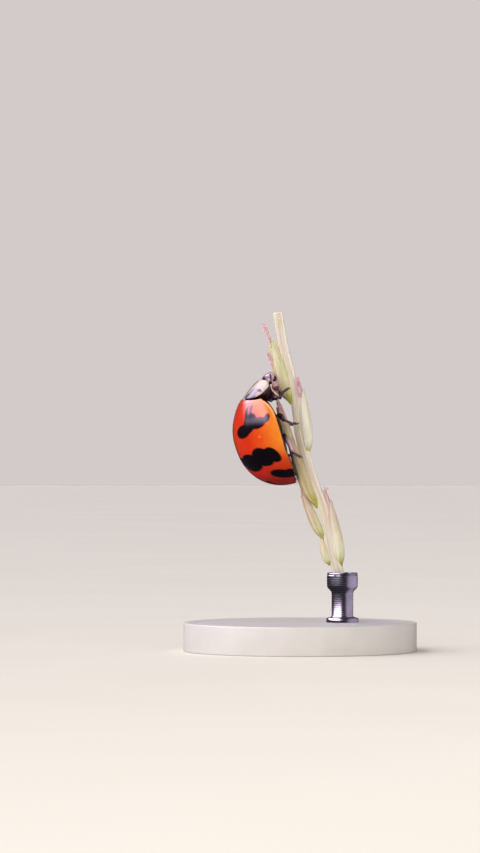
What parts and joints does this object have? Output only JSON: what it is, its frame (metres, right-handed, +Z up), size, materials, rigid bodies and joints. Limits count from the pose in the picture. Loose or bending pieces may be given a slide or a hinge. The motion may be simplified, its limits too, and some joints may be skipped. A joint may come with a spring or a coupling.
{
  "type": "ladybird",
  "caption": "Life-size still model of an orange ladybird with black wavy bands, gripping a short cut length of grass spike on a small round display stand.",
  "frame": {"origin": "middle of the underside of the stand's disc", "axes": "+Z up, along the upright height of the model; the ladybird's right side faces -Y and its back faces -X, head up"},
  "size_m": [0.013, 0.013, 0.0189],
  "materials": {
    "wing_case": "glossy orange chitin with black wavy markings",
    "cream_shell": "glossy cream chitin with small black marks",
    "dark_shell": "dark purple-brown chitin, satin to glossy",
    "eye": "black faceted eye",
    "feeler": "pale brown chitin",
    "grass_stem": "straw-coloured ribbed grass stem",
    "grass_husk": "papery green, tan and pink husks",
    "stand_disc": "satin pale disc",
    "stand_steel": "turned steel rod with a cup"
  },
  "bodies": {
    "root": {"elytron_right": "wing_case", "elytron_left": "wing_case", "scutellum": "dark_shell", "pronotum": "cream_shell", "head": "cream_shell", "mouthparts": "dark_shell", "eye_right": "eye", "eye_left": "eye", "antenna_right": "feeler", "antenna_left": "feeler", "palp_right": "dark_shell", "palp_left": "dark_shell", "prothorax": "dark_shell", "thorax": "dark_shell", "abdomen": "dark_shell", "leg_fore_right_femur": "dark_shell", "leg_fore_right_tibia": "dark_shell", "leg_fore_right_tarsus": "dark_shell", "leg_mid_right_femur": "dark_shell", "leg_mid_right_tibia": "dark_shell", "leg_mid_right_tarsus": "dark_shell", "leg_hind_right_femur": "dark_shell", "leg_hind_right_tibia": "dark_shell", "leg_hind_right_tarsus": "dark_shell", "leg_fore_left_femur": "dark_shell", "leg_fore_left_tibia": "dark_shell", "leg_fore_left_tarsus": "dark_shell", "leg_mid_left_femur": "dark_shell", "leg_mid_left_tibia": "dark_shell", "leg_mid_left_tarsus": "dark_shell", "leg_hind_left_femur": "dark_shell", "leg_hind_left_tibia": "dark_shell", "leg_hind_left_tarsus": "dark_shell", "perch_stem": "grass_stem", "perch_spikelet_left_1": "grass_husk", "perch_spikelet_left_2": "grass_husk", "perch_spikelet_left_3": "grass_husk", "perch_spikelet_left_4": "grass_husk", "perch_spikelet_left_5": "grass_husk", "perch_spikelet_right_1": "grass_husk", "perch_spikelet_right_2": "grass_husk", "stand_base": "stand_disc", "stand_rod": "stand_steel"}
  },
  "joints": []
}
